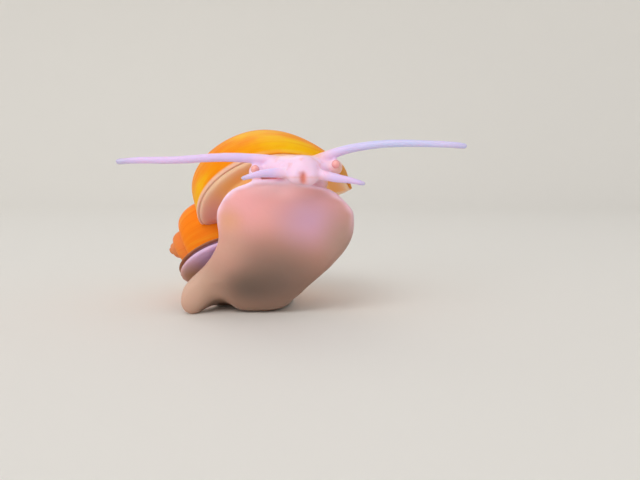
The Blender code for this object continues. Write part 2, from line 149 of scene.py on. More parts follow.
def whorl_point(turn, angle, inset):
    """The tube's point at this turn from the lip and this angle round its section."""
    growth = WHORL_RATIO ** (min(turn, 0.0) / math.tau)
    around = -SHELL_ROLL - turn
    outward = math.cos(around) * AXIS_UP + math.sin(around) * AXIS_AWAY
    across = (SECTION_HALF_WIDTH * growth - inset) * math.cos(angle)
    along = (SECTION_HALF_HEIGHT * growth - inset) * math.sin(angle)
    curl = SECTION_CURL * growth * max(0.0, math.sin(angle)) ** 2
    radius = max(SECTION_OUT * growth + across - curl, SECTION_INNERMOST * growth)
    return SHELL_APEX + outward * radius - TO_APEX * (SECTION_DROP * growth + along)


MOUTH_NORMAL = -math.sin(MOUTH_FACING) * AXIS_UP - math.cos(MOUTH_FACING) * AXIS_AWAY
LIP_POINT = whorl_point(0.0, 0.0, 0.0)


def mouth_turn(angle):
    """The turn at which this line of the tube meets the mouth plane, by halving."""
    low, high = -MOUTH_SEARCH, MOUTH_SEARCH
    for _ in range(MOUTH_HALVINGS):
        middle = (low + high) / 2
        if (whorl_point(middle, angle, 0.0) - LIP_POINT).dot(MOUTH_NORMAL) < 0.0:
            low = middle
        else:
            high = middle
    return (low + high) / 2


print("the tube meets the mouth plane at", [round(math.degrees(mouth_turn(math.radians(angle))))
                                            for angle in (0, 45, 315)], "degrees")

# %% [markdown]
# Near the axis the tube never reaches the mouth plane. There the lip stops at a cap of some 22
# degrees, and a soft minimum blends the two rules, so that the lip is one smooth oval.

# %% Lip
LIP_CAP = math.radians(22)
LIP_CAP_SWING = math.radians(7)
LIP_BLEND = math.radians(26)
LIP_REACH = SECTION_OUT + SECTION_HALF_WIDTH
LIP_COLUMNS = 120


def lip_turn(angle):
    """How far on the lip stands along this line of the tube."""
    plane = mouth_turn(angle)
    cap = LIP_CAP + LIP_CAP_SWING * math.sin(angle)
    near = max(0.0, 1.0 - abs(plane - cap) / LIP_BLEND)
    return min(plane, cap) - near * near * LIP_BLEND / 4


lip_turns = [lip_turn(math.tau * i / LIP_COLUMNS) for i in range(LIP_COLUMNS)]
print("the lip stands between", round(math.degrees(min(lip_turns))), "and",
      round(math.degrees(max(lip_turns))), "degrees")


def lip_ring_point(u, turn, inset):
    """A point this far on from the lip; u is the place round the tube, from 0 to 1."""
    angle = math.tau * u
    return whorl_point(lip_turns[round(u * LIP_COLUMNS) % LIP_COLUMNS] + turn, angle, inset)


# %% [markdown]
# The shell is one sheet. Its rows run from deep inside the mouth out to the lip, round the edge,
# and back along the outside to the apex. The wall is 1.2 mm inside and thins to 0.7 mm at the lip.
# The later turns pass over the earlier ones, and where the smooth surfaces meet they leave the
# crisp spiral seam of a real shell, so nothing has to be cut.
#
# The texture coordinates are stored as the place round the tube and the number of turns back from
# the lip, because that is how a snail lays down its growth lines.

# %% Shell
LIP_WALL = 0.7 * MM
ROUND_ROWS = 8
INSIDE_ROWS = 22
OUTSIDE_ROWS = 330
SHELL_ROWS = INSIDE_ROWS + ROUND_ROWS + OUTSIDE_ROWS


def shell_row(v):
    """(turns from the lip, depth into the wall, share of the way round the edge) of a row."""
    row = v * SHELL_ROWS
    if row < INSIDE_ROWS:
        back = RECESS_TURN * (1.0 - row / INSIDE_ROWS)
        wall = LIP_WALL + (SHELL_WALL - LIP_WALL) * soft_step(0.0, RECESS_TURN, back)
        return -back, wall, 0.0
    if row < INSIDE_ROWS + ROUND_ROWS:
        swing = math.pi * (row - INSIDE_ROWS) / ROUND_ROWS
        return 0.0, LIP_WALL * (1.0 + math.cos(swing)) / 2, math.sin(swing)
    back = math.tau * WHORL_TURNS * (row - INSIDE_ROWS - ROUND_ROWS) / OUTSIDE_ROWS
    return -back, 0.0, 0.0


def shell_place(u, v):
    turn, inset, edge = shell_row(v)
    rounding = LIP_WALL / 2 / LIP_REACH
    return lip_ring_point(u, turn - rounding * (1.0 - edge), inset)


shell = bent_sheet(LIP_COLUMNS, SHELL_ROWS, shell_place)
chart = shell.loops.layers.uv["UVMap"]
for face in shell.faces:
    for loop in face.loops:
        turn = shell_row(loop[chart].uv.y)[0]
        inner = loop[chart].uv.y * SHELL_ROWS < INSIDE_ROWS
        loop[chart].uv.y = turn / math.tau * (-1.0 if not inner else 1.0)
bmesh.ops.holes_fill(shell, edges=[edge for edge in shell.edges if edge.is_boundary])
bmesh.ops.recalc_face_normals(shell, faces=shell.faces)
shell = piece_from("gold_shell", shell)
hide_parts("shell")
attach(shell, "root")
print("shell:", len(shell.data.polygons), "faces")

# %% [markdown]
# ## The soft body
#
# The solids part the flesh into a head, a foot and so on, but a real snail has one unbroken skin.
# Sculptors build such a body from rounded lumps and then melt them together. The Remesh modifier
# does this: it wraps one new skin round everything that overlaps, and smoothing softens the
# valleys between the lumps.
#
# First come the lumps that sit above the foot: the body, the neck, the snout with its two lobes,
# and the short stalks that carry the eyes.

# %% Lumps of flesh
BODY_MASSES = (
    ((1.5, 4.5, 14.5), (11.5, 5.5, 9.5)),
    ((2.0, 8.5, 15.5), (10.6, 8.5, 10.0)),
    ((1.0, 12.5, 25.5), (13.5, 9.5, 9.3)),
    ((-3.0, 9.8, 6.5), (9.5, 9.0, 7.5)),
    ((4.0, 7.0, 26.0), (9.0, 7.0, 7.0)),
    ((5.0, 6.0, 30.5), (8.5, 5.2, 4.5)),
)
HEAD_MASSES = (
    ((6.2, 1.2, 33.7), (8.8, 4.4, 2.9)),
    ((7.2, -0.8, 33.2), (5.2, 4.0, 3.2)),
    ((7.5, -2.6, 33.0), (3.9, 3.4, 3.3)),
    ((6.2, -4.2, 31.9), (2.1, 1.9, 2.2)),
    ((9.2, -4.2, 31.7), (2.1, 1.9, 2.2)),
    ((2.4, 2.5, 31.6), (4.8, 2.2, 1.6)),
)
EYE_LEFT = Vector((-2.9, -1.9, 33.2)) * MM
EYE_RIGHT = Vector((14.9, -1.6, 34.3)) * MM
EYE_RADIUS = 0.95 * MM
EYE_STALK_RADII = (1.7, 2.1, 1.9)
EYE_STALK_SHIFT = Vector((0.0, 1.4, -0.6)) * MM


def lump(maker, centre, radii):
    """Adds an ellipsoid to the bmesh; the radii are in millimetres."""
    shape = Matrix.Diagonal((*(radius * MM for radius in radii), 1.0))
    bmesh.ops.create_icosphere(
        maker, subdivisions=4, radius=1.0, matrix=Matrix.Translation(centre) @ shape
    )


flesh = bmesh.new()
for centre, radii in BODY_MASSES + HEAD_MASSES:
    lump(flesh, Vector(centre) * MM, radii)
for eye in (EYE_LEFT, EYE_RIGHT):
    lump(flesh, eye + EYE_STALK_SHIFT, EYE_STALK_RADII)
print("lumps of flesh:", len(BODY_MASSES) + len(HEAD_MASSES) + 2)

# %% [markdown]
# The foot is one sheet of muscle about 5 mm thick. It is described by a few stations along its
# middle, from the front edge at the top, down the sole to the bend, and back along the floor: how
# far back and how high the sole is, where its two margins are, and how thick it is. A smooth curve
# runs through the stations, and the bent sheet wraps round it with a rather square section.

# %% Foot
FOOT_STATIONS = (
    (-1.2, 30.7, -2.8, 5.4, 1.6),
    (-1.5, 28.5, -8.3, 13.6, 3.2),
    (-1.7, 26.0, -10.9, 17.3, 3.8),
    (-1.8, 23.0, -12.0, 19.2, 4.2),
    (-2.0, 17.0, -11.7, 18.4, 4.8),
    (-1.2, 11.0, -14.9, 14.2, 5.0),
    (0.8, 5.2, -20.4, 8.3, 5.0),
    (3.4, 0.6, -20.0, 3.6, 4.6),
    (12.0, -0.3, -15.5, 4.6, 4.0),
    (22.0, -0.3, -13.0, 4.6, 2.8),
    (35.0, -0.3, -6.0, 0.0, 2.2),
)
FOOT_SQUARENESS = 0.62
LOBE_FORWARD = 3.0 * MM
LOBE_DROP = 1.8 * MM
LOBE_TOP = 9.0 * MM
TAIL_START = 0.93
TAIL_TAPER = 0.9
ARCH_HEIGHT = 4.4 * MM
ARCH_CENTRE_X = -12.6 * MM
ARCH_HALF_WIDTH = 5.6 * MM
ARCH_DEPTH_Y = 16.0 * MM
ARCH_TOP = 8.0 * MM


def smooth_path(points, share):
    """The point at this share, 0 to 1, of a smooth curve through rows of numbers."""
    rows = [Vector(row) for row in points]
    rows = [2 * rows[0] - rows[1], *rows, 2 * rows[-1] - rows[-2]]
    spans = len(rows) - 3
    span = min(int(share * spans), spans - 1)
    t = share * spans - span
    a, b, c, d = rows[span:span + 4]
    return 0.5 * (2 * b + (c - a) * t + (2 * a - 5 * b + 4 * c - d) * t * t
                  + (3 * b - 3 * c + d - a) * t * t * t)


def signed_power(value, power):
    return math.copysign(abs(value) ** power, value)


def foot_bend(point, across):
    """Brings the left lobe forward and lifts the arch beside it."""
    low = max(0.0, 1.0 - point.z / LOBE_TOP)
    left = max(0.0, -across) ** 2
    point.y -= LOBE_FORWARD * low * left
    point.z -= LOBE_DROP * low * left
    near = max(0.0, 1.0 - max(point.y, 0.0) / ARCH_DEPTH_Y)
    side = max(0.0, 1.0 - ((point.x - ARCH_CENTRE_X) / ARCH_HALF_WIDTH) ** 2)
    point.z += ARCH_HEIGHT * side * side * near * max(0.0, 1.0 - point.z / ARCH_TOP)
    return point


def foot_place(u, v):
    row = smooth_path(FOOT_STATIONS, v)
    travel = smooth_path(FOOT_STATIONS, min(v + 0.01, 1.0))
    travel = travel - smooth_path(FOOT_STATIONS, max(v - 0.01, 0.0))
    travel = Vector((0.0, travel[0], travel[1])).normalized()
    dorsal = Vector((0.0, -travel.z, travel.y))
    across = signed_power(math.cos(math.tau * u), FOOT_SQUARENESS)
    depth = signed_power(math.sin(math.tau * u), FOOT_SQUARENESS)
    tail = max(0.0, v - TAIL_START) / (1.0 - TAIL_START)
    half = (row[3] - row[2]) / 2 * math.sqrt(1.0 - TAIL_TAPER * tail * tail)
    point = Vector(((row[2] + row[3]) / 2 + across * half, row[0], row[1]))
    point += dorsal * (1.0 + depth) * row[4] / 2
    return foot_bend(point * MM, across)


def add_to(maker, part):
    """Copies one bmesh into another, with its open ends closed."""
    bmesh.ops.holes_fill(part, edges=[edge for edge in part.edges if edge.is_boundary])
    bmesh.ops.recalc_face_normals(part, faces=part.faces)
    loose = bpy.data.meshes.new("loose")
    part.to_mesh(loose)
    part.free()
    maker.from_mesh(loose)
    bpy.data.meshes.remove(loose)


add_to(flesh, bent_sheet(96, 60, foot_place))

# %% [markdown]
# Now the skin is drawn round all of it. A voxel is the size of one step of the new skin. The melt
# is smoothed well before the feelers go on, because as much smoothing would wear them away.

# %% Melt
BODY_VOXEL = 0.45 * MM
BODY_SMOOTHING = 16
FINE_VOXEL = 0.32 * MM
FINE_SMOOTHING = 5


def melt(obj, voxel, smoothing):
    """Wraps one new skin round everything in the mesh, then smooths it."""
    wrap = obj.modifiers.new("melt", "REMESH")
    wrap.mode = "VOXEL"
    wrap.voxel_size = voxel
    soften = obj.modifiers.new("soften", "SMOOTH")
    soften.iterations = smoothing
    soften.factor = 0.5
    apply_modifiers(obj)


skin = piece_from("snail_skin", flesh)
melt(skin, BODY_VOXEL, BODY_SMOOTHING)
print("body melt:", len(skin.data.vertices), "points")

# %% [markdown]
# ## Feelers and other fine forms
#
# The feelers are tapered tubes on smooth curves: two long tentacles, and two short palps beside
# the mouth. Each starts inside the head, and every tip is rounded by letting the radius fall to
# nothing over the last millimetre.

# %% Feelers
TENTACLE_LEFT = (
    (4.0, 0.4, 34.8), (-2.9, -0.2, 35.6), (-10.8, -1.6, 35.8),
    (-20.0, -2.6, 35.2), (-28.4, -3.0, 35.1), (-33.2, -3.0, 34.8),
)
TENTACLE_RIGHT = (
    (10.0, 0.8, 35.0), (13.9, 0.5, 36.6), (19.5, 0.0, 38.1), (27.9, -1.0, 38.9),
    (39.0, -2.0, 38.6), (43.7, -2.0, 38.2),
)
TENTACLE_RADII = (1.3, 0.65)
PALP_LEFT = ((4.4, -3.2, 32.4), (0.1, -4.6, 32.3), (-2.5, -5.4, 31.9), (-5.6, -6.0, 31.0))
PALP_RIGHT = ((10.6, -3.2, 32.2), (15.2, -4.2, 31.2), (18.2, -4.4, 30.7), (21.4, -4.4, 29.9))
PALP_RADII = (1.3, 0.5)
FEELERS = (
    (TENTACLE_LEFT, TENTACLE_RADII), (TENTACLE_RIGHT, TENTACLE_RADII),
    (PALP_LEFT, PALP_RADII), (PALP_RIGHT, PALP_RADII),
)
TIP_LENGTH = 0.9
FEELER_TAPER = 0.8
FEELER_TIP_CROWDING = 1.3


def feeler_radius(points, radii, share):
    """The radius in millimetres at this share of a feeler's length."""
    length = sum((Vector(b) - Vector(a)).length for a, b in zip(points, points[1:]))
    left = (1.0 - share) * length / TIP_LENGTH
    blunt = math.sqrt(max(0.0, 1.0 - (1.0 - min(left, 1.0)) ** 2))
    return (radii[0] + (radii[1] - radii[0]) * share ** FEELER_TAPER) * blunt


def feeler_place(points, radii, u, v):
    share = 1.0 - (1.0 - v) ** FEELER_TIP_CROWDING
    along = smooth_path(points, min(share + 0.01, 1.0)) - smooth_path(points, max(share - 0.01, 0.0))
    turn = along.to_track_quat("Z", "Y").to_matrix()
    ring = turn @ Vector((math.cos(math.tau * u), math.sin(math.tau * u), 0.0))
    return (smooth_path(points, share) + ring * feeler_radius(points, radii, share)) * MM


fine = bmesh.new()
for points, radii in FEELERS:
    add_to(fine, bent_sheet(24, 90, lambda u, v: feeler_place(points, radii, u, v)))
print("feelers:", len(FEELERS))

# %% [markdown]
# Just inside the lip sits the mantle, the soft tissue that builds the shell. It fills the mouth like
# a cushion: its sheet lines the tube as far as the lip, turns over a rounded shoulder there, and
# closes towards a middle point on the mouth plane.

# %% Mantle
MANTLE_ROOM = LIP_WALL - 0.2 * MM
MANTLE_OUT = 0.6 * MM
MANTLE_SWELL = 0.4 * MM
MANTLE_SHOULDER = 0.5 * MM
MANTLE_ROUNDING = 0.05
MANTLE_TUBE = 0.5
MANTLE_DEEP = math.radians(2) - RECESS_TURN

mantle_edge = [lip_ring_point(i / LIP_COLUMNS, 0.0, MANTLE_ROOM) for i in range(LIP_COLUMNS)]
mantle_middle = sum(mantle_edge, Vector()) / LIP_COLUMNS
mantle_middle += MOUTH_NORMAL * (MANTLE_SWELL - (mantle_middle - LIP_POINT).dot(MOUTH_NORMAL))


def mantle_place(u, v):
    front = (MANTLE_OUT - MANTLE_SHOULDER) / LIP_REACH
    if v < MANTLE_TUBE:
        turn = MANTLE_DEEP + (front - MANTLE_DEEP) * v / MANTLE_TUBE
        return lip_ring_point(u, turn, MANTLE_ROOM)
    share = (v - MANTLE_TUBE) / (1.0 - MANTLE_TUBE)
    turned = min(share / MANTLE_ROUNDING, 1.0)
    rise = MANTLE_SHOULDER * math.sqrt(turned * (2.0 - turned)) * (1.0 - share)
    edge = lip_ring_point(u, front, MANTLE_ROOM)
    return edge.lerp(mantle_middle, share) + MOUTH_NORMAL * rise


add_to(fine, bent_sheet(LIP_COLUMNS, 60, mantle_place))
print("mantle: its middle stands at", [round(value / MM, 1) for value in mantle_middle], "mm")

# %% [markdown]
# The lid and the pad of flesh that carries it have one form, a shallow egg-shaped dish, so we write
# it once. The sheet goes from the middle of one face over the rim to the middle of the other. The
# pad is a thicker dish behind the lid, and a little smaller, so that a rim of horn stands round it.

# %% Lid's form and its pad
OPERCULUM_CENTRE = Vector((-12.5, 9.8, 12.4)) * MM
OPERCULUM_LONG = Vector((0.96, 0.05, 0.22))
OPERCULUM_OUT = Vector((-0.25, 0.72, 0.65))
OPERCULUM_DISH = 1.0 * MM
OPERCULUM_EGG = 0.12
RING_WAVES = 46.0
PAD_SIZE = (10.3 * MM, 7.5 * MM, 2.0 * MM)
PAD_BACK = 1.5 * MM


def frame_of(axis_x, axis_z):
    """A rotation whose X and Z columns follow the two directions."""
    z = Vector(axis_z).normalized()
    x = Vector(axis_x) - z * Vector(axis_x).dot(z)
    x.normalize()
    return Matrix((x, z.cross(x), z)).transposed()


lid_turn = frame_of(OPERCULUM_LONG, OPERCULUM_OUT)


def dish_place(u, v, size, back, ripple=0.0):
    """A point of a dish of this half length, half width and thickness, behind the lid's place."""
    angle = math.tau * u
    swing = math.pi * (1.0 - 2.0 * v) / 2
    reach = signed_power(math.cos(swing), 0.5)
    side = signed_power(math.sin(swing), 0.8)
    x = size[0] * reach * math.cos(angle)
    y = size[1] * reach * math.sin(angle) * (1 + OPERCULUM_EGG * math.cos(angle))
    rings = ripple * math.cos(RING_WAVES * reach) * soft_step(0.1, 0.4, reach)
    z = (size[2] / 2 + rings) * side - OPERCULUM_DISH * reach * reach - back
    return OPERCULUM_CENTRE + lid_turn @ Vector((x, y, z))


add_to(fine, bent_sheet(72, 40, lambda u, v: dish_place(u, v, PAD_SIZE, PAD_BACK)))
print("pad:", [round(side / MM, 1) for side in PAD_SIZE], "mm")

# %% [markdown]
# The last fine form is the rim, the rounded margin of the sole. It runs up the left side, over the
# top and down the right side, and thins out lower down, where the sole rolls away smoothly.

# %% Rim of the sole
RIM_RADIUS = 0.6
RIM_INSET = 0.75
RIM_END = 0.44
RIM_FADE = 0.4
RIM_FORWARD = 0.9
RIM_UP = 0.3
RIM_TOP_SHARE = 0.1


def rim_centre(v, side):
    """The middle of the rim at this share of the foot; side 2 is the left one and 3 the right."""
    row = smooth_path(FOOT_STATIONS, v)
    inward = RIM_INSET if side == 2 else -RIM_INSET
    at_top = max(0.0, 1.0 - v / RIM_TOP_SHARE)
    back = min(1.0, row[4] / 2) - RIM_FORWARD * at_top
    return row[side] + inward, row[0] + back, row[1] + (RIM_UP - RIM_RADIUS) * at_top


RIM_STEPS = [RIM_END * (1.0 - i / 9) for i in range(10)]
RIM_PATH = [rim_centre(v, 2) for v in RIM_STEPS] + [rim_centre(v, 3) for v in reversed(RIM_STEPS)]


def rim_place(u, v):
    along = smooth_path(RIM_PATH, min(v + 0.004, 1.0)) - smooth_path(RIM_PATH, max(v - 0.004, 0.0))
    turn = along.to_track_quat("Z", "Y").to_matrix()
    ring = turn @ Vector((math.cos(math.tau * u), math.sin(math.tau * u), 0.0))
    radius = RIM_RADIUS * soft_step(0.0, RIM_FADE, min(v, 1.0 - v))
    return (smooth_path(RIM_PATH, v) + ring * radius) * MM


add_to(fine, bent_sheet(16, 160, rim_place))
fine = piece_from("fine_forms", fine)
both = bmesh.new()
both.from_mesh(skin.data)
both.from_mesh(fine.data)
both.to_mesh(skin.data)
both.free()
bpy.data.objects.remove(fine)
melt(skin, FINE_VOXEL, FINE_SMOOTHING)
print("skin with its fine forms:", len(skin.data.vertices), "points")

# %% [markdown]
# ## Working the skin by hand
#
# A sculptor would now press details into the melted form. Here each detail is a small push: the
# foot is pressed flat where it rests, and the mouth is an upright slit between the two lobes of
# the snout. The faces round the mouth are subdivided first, because the slit is under a
# millimetre wide.

# %% Press in the details
MOUTH_CENTRE = Vector((7.8, -5.6, 31.2)) * MM
MOUTH_HALF_WIDTH = 0.5 * MM
MOUTH_HALF_HEIGHT = 1.2 * MM
MOUTH_DEPTH = 0.6 * MM
MOUTH_ROOM = 2.6 * MM
MOUTH_BACK = -4.0 * MM

hands = bmesh.new()
hands.from_mesh(skin.data)
bmesh.ops.translate(hands, verts=hands.verts, vec=FRAME_ORIGIN)
near_mouth = [edge for edge in hands.edges
              if all((vert.co - MOUTH_CENTRE).length < MOUTH_ROOM for vert in edge.verts)]
bmesh.ops.subdivide_edges(hands, edges=near_mouth, cuts=1, use_grid_fill=True, smooth=0.3)
bmesh.ops.triangulate(hands, faces=[face for face in hands.faces if len(face.verts) > 4])
hands.normal_update()
for vert in hands.verts:
    point = vert.co.copy()
    aside = (point.x - MOUTH_CENTRE.x) / MOUTH_HALF_WIDTH
    above = (point.z - MOUTH_CENTRE.z) / MOUTH_HALF_HEIGHT
    if point.y < MOUTH_BACK and abs(aside) < 4 and abs(above) < 2:
        vert.co.y += MOUTH_DEPTH * math.exp(-aside * aside) * math.exp(-above ** 4)
    vert.co.z = max(vert.co.z, 0.0)
hands.normal_update()
print("closest point to the floor:", min(vert.co.z for vert in hands.verts))

# %% [markdown]
# The colour of the flesh changes from place to place: a pink sole that darkens low down, partly
# its own colour and partly painted shade, with a painted highlight along its margin, a lilac
# head, greyish feeler tips, an orange mantle. So each point of the skin is given a few numbers
# that say where it belongs, and the finish reads them as attributes.

# %% Mark the regions
# The mark for the sole's margin carries a painted highlight along its rounded rim.
MARKS = ("sole", "margin_highlight", "head", "feeler", "mantle", "collar", "pad", "mouth")
SOLE_TOP = 30.7 * MM
HEAD_LOW = 31.0 * MM
MARGIN_WIDTH = 0.9 * MM
COLLAR_WIDTH = 1.3 * MM
UPRIGHT_STATIONS = 8
PATH_SAMPLES = 200

path_tree = KDTree(len(FEELERS) * PATH_SAMPLES)
path_shares = []
for points, radii in FEELERS:
    for i in range(PATH_SAMPLES):
        share = i / (PATH_SAMPLES - 1)
        radius = max(radii[0] + (radii[1] - radii[0]) * share, 0.4)
        path_tree.insert(smooth_path(points, share) * MM, len(path_shares))
        path_shares.append((share, radius * MM))
path_tree.balance()
lip_tree = KDTree(LIP_COLUMNS)
for i, point in enumerate(mantle_edge):
    lip_tree.insert(point, i)
lip_tree.balance()


def sole_row(height):
    """The foot's station values at this height, for the upright part of the sole."""
    rows = sorted(FOOT_STATIONS[:UPRIGHT_STATIONS], key=lambda row: row[1])
    for low, high in zip(rows, rows[1:]):
        if height <= high[1]:
            share = max(0.0, (height - low[1]) / (high[1] - low[1]))
            return [a + (b - a) * share for a, b in zip(low, high)]
    return rows[-1]


def margin_distance(point):
    """How far in from the nearest part of the sole's margin a point is, in metres."""
    row, lower = sole_row(point.z / MM), sole_row(point.z / MM - 1.0)
    left = (point.x - row[2] * MM) / math.hypot(1.0, row[2] - lower[2])
    right = (row[3] * MM - point.x) / math.hypot(1.0, row[3] - lower[3])
    return min(left, right, SOLE_TOP - point.z)


def marks_of(point, normal):
    """How strongly each mark holds at a point of the skin, in the order of MARKS."""
    front = soft_step(5.0 * MM, 3.0 * MM, point.y)
    sole = soft_step(-0.1, 0.45, -normal.y) * front * soft_step(31.4 * MM, 30.4 * MM, point.z)
    # The margin: a painted highlight along the sole's rounded rim, fading out lower down and a
    # little weaker on the right.
    edge = math.exp(-(max(margin_distance(point), 0.0) / MARGIN_WIDTH) ** 2)
    edge *= soft_step(16.0 * MM, 27.0 * MM, point.z) * soft_step(31.4 * MM, 31.0 * MM, point.z)
    edge *= 1.0 - 0.25 * soft_step(2.0 * MM, 10.0 * MM, point.x)
    edge *= soft_step(-0.7, 0.1, -normal.y) * front
    head = soft_step(HEAD_LOW - 0.5 * MM, HEAD_LOW + 1.0 * MM, point.z)
    head *= soft_step(1.8 * MM, -1.5 * MM, point.y)
    _, index, distance = path_tree.find(point)
    share, radius = path_shares[index]
    feeler = share * soft_step(radius * 1.9, radius * 1.2, distance)
    behind = -(point - LIP_POINT).dot(MOUTH_NORMAL)
    mantle = soft_step(-4.6 * MM, -0.6 * MM, behind) * soft_step(9.0 * MM, 19.0 * MM, point.z)
    from_lip = max(lip_tree.find(point)[2] - 0.4 * MM, 0.0)
    collar = math.exp(-(from_lip / COLLAR_WIDTH) ** 2)
    local = lid_turn.transposed() @ (point - OPERCULUM_CENTRE)
    out = math.hypot(local.x / PAD_SIZE[0], local.y / PAD_SIZE[1])
    pad = soft_step(1.12, 1.0, out) * soft_step(-PAD_SIZE[2] * 3.2, -PAD_SIZE[2] * 2.0, local.z)
    pad *= soft_step(18.0 * MM, 16.5 * MM, point.z)
    aside = (point.x - MOUTH_CENTRE.x) / (MOUTH_HALF_WIDTH * 1.5)
    above = (point.z - MOUTH_CENTRE.z) / (MOUTH_HALF_HEIGHT * 1.1)
    mouth = math.exp(-aside * aside - above ** 4) * soft_step(-3.0 * MM, -4.0 * MM, point.y)
    return sole, edge, head, feeler, mantle, collar, pad, mouth


layers = [hands.verts.layers.float.new(mark) for mark in MARKS]
for vert in hands.verts:
    for layer, value in zip(layers, marks_of(vert.co, vert.normal)):
        vert[layer] = value
bmesh.ops.translate(hands, verts=hands.verts, vec=-FRAME_ORIGIN)
hands.to_mesh(skin.data)
hands.free()
skin.data.shade_smooth()
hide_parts("body", "foot_front", "foot_middle", "foot_rear", "head", "mantle",
            "opercular_lobe", "palp_left", "palp_right", "tentacle_left_root",
            "tentacle_left_middle", "tentacle_left_tip", "tentacle_right_root",
            "tentacle_right_middle", "tentacle_right_tip")
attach(skin, "root")
print("skin:", len(skin.data.polygons), "faces")

# %% [markdown]
# ## The lid and the eyes
#
# The lid, or operculum, is a thin horny plate that shuts the mouth when the snail draws in. It grows
# in rings, so its faces are given a ripple, and its sheet keeps the distance from the middle as a
# texture coordinate for the finish.

# %% Operculum
OPERCULUM_SIZE = (10.4 * MM, 7.6 * MM, 0.9 * MM)
RING_DEPTH = 0.05 * MM

lid = bent_sheet(96, 120, lambda u, v: dish_place(u, v, OPERCULUM_SIZE, 0.0, RING_DEPTH))
bmesh.ops.recalc_face_normals(lid, faces=lid.faces)
lid = piece_from("horny_lid", lid)
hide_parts("operculum")
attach(lid, "root")
print("lid:", len(lid.data.polygons), "faces")

# %% [markdown]
# Each eye is a small wet bead at the end of its stalk. In a golden snail the pupil hardly shows, so
# the bead is one ball in one pink-orange.

# %% Eyes
for name, centre in (("eye_left", EYE_LEFT), ("eye_right", EYE_RIGHT)):
    ball = bmesh.new()
    bmesh.ops.create_uvsphere(
        ball, u_segments=40, v_segments=24, radius=EYE_RADIUS, matrix=Matrix.Translation(centre)
    )
    eye = piece_from(name + "_bead", ball)
    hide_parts(name)
    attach(eye, "root")
print("eyes:", EYE_RADIUS / MM * 2, "mm across")

# %% [markdown]
# ## Finishes
#
# A finish is a small network of nodes. Three effects turn up again and again, so they are groups: a
# mottle, which drifts between two colours, a soft spot, which tints one rounded region, and a
# fine grain, which gives the height of a bump. Colours are written as they look on screen, from
# 0 to 255, and turned into light.

# %% Node helpers
def paint(red, green, blue):
    """A colour as seen on screen, turned into the linear numbers that shaders use."""
    def linear(value):
        value /= 255.0
        return value / 12.92 if value <= 0.04045 else ((value + 0.055) / 1.055) ** 2.4
    return (linear(red), linear(green), linear(blue), 1.0)


def add_node(tree, kind, settings=None, **values):
    """A new node; a value is a number, a colour or the socket that feeds that input."""
    node = tree.nodes.new(kind)
    for key, value in (settings or {}).items():
        setattr(node, key, value)
    for key, value in values.items():
        put(tree, node, key.replace("_", " "), value)
    return node


def put(tree, node, key, value):
    socket = node.inputs[int(key)] if key.isdigit() else node.inputs[key]
    if isinstance(value, bpy.types.NodeSocket):
        tree.links.new(value, socket)
    else:
        socket.default_value = value


def blend(tree, amount, first, second):
    """The socket of a colour between two, by the amount."""
    node = tree.nodes.new("ShaderNodeMix")
    node.data_type = "RGBA"
    for index, value in ((0, amount), (6, first), (7, second)):
        put(tree, node, str(index), value)
    return node.outputs[2]


def remap(tree, value, low, high, to_low=0.0, to_high=1.0):
    """The socket of a value brought smoothly from one range to another."""
    node = add_node(tree, "ShaderNodeMapRange", {"interpolation_type": "SMOOTHSTEP"})
    for index, given in enumerate((value, low, high, to_low, to_high)):
        put(tree, node, str(index), given)
    return node.outputs[0]


def maths(tree, operation, first, second=0.0):
    node = add_node(tree, "ShaderNodeMath", {"operation": operation})
    put(tree, node, "0", first)
    put(tree, node, "1", second)
    return node.outputs[0]


def new_finish(name):
    made = bpy.data.materials.new(name)
    made.use_nodes = True
    tree = made.node_tree
    return made, tree, tree.nodes["Principled BSDF"]


def object_place(tree):
    return add_node(tree, "ShaderNodeTexCoord").outputs["Object"]


# %% [markdown]
# Each shared effect is a node group with sockets of its own. It is described once here, and small
# functions put it into any finish that wants it.

# %% Shared effects
def new_group(name, inputs, outputs):
    group = bpy.data.node_groups.new(name, "ShaderNodeTree")
    for label, kind, value in inputs:
        socket = group.interface.new_socket(name=label, in_out="INPUT", socket_type=kind)
        if value is not None:
            socket.default_value = value
    for label, kind in outputs:
        group.interface.new_socket(name=label, in_out="OUTPUT", socket_type=kind)
    start = group.nodes.new("NodeGroupInput")
    end = group.nodes.new("NodeGroupOutput")
    return group, start, end


mottle_group, start, end = new_group(
    "Soft mottle",
    (("Place", "NodeSocketVector", None), ("Scale", "NodeSocketFloat", 300.0),
     ("Colour", "NodeSocketColor", (1.0, 1.0, 1.0, 1.0)),
     ("Patch colour", "NodeSocketColor", (0.5, 0.5, 0.5, 1.0)),
     ("Rarity", "NodeSocketFloat", 0.5), ("Softness", "NodeSocketFloat", 0.16)),
    (("Colour", "NodeSocketColor"),),
)
cloud = add_node(mottle_group, "ShaderNodeTexNoise", Vector=start.outputs["Place"],
                 Scale=start.outputs["Scale"], Detail=4.0, Roughness=0.55)
above = maths(mottle_group, "ADD", start.outputs["Rarity"], start.outputs["Softness"])
mask = remap(mottle_group, cloud.outputs[0], start.outputs["Rarity"], above)
mottled = blend(mottle_group, mask, start.outputs["Colour"], start.outputs["Patch colour"])
mottle_group.links.new(mottled, end.inputs["Colour"])

grain_group, start, end = new_group(
    "Fine grain",
    (("Place", "NodeSocketVector", None), ("Scale", "NodeSocketFloat", 900.0)),
    (("Height", "NodeSocketFloat"),),
)
grain = add_node(grain_group, "ShaderNodeTexNoise", Vector=start.outputs["Place"],
                 Scale=start.outputs["Scale"], Detail=5.0, Roughness=0.6)
cells = add_node(grain_group, "ShaderNodeTexVoronoi", {"feature": "SMOOTH_F1"},
                 Vector=start.outputs["Place"], Scale=start.outputs["Scale"])
height = maths(grain_group, "ADD", grain.outputs[0], cells.outputs["Distance"])
grain_group.links.new(height, end.inputs["Height"])

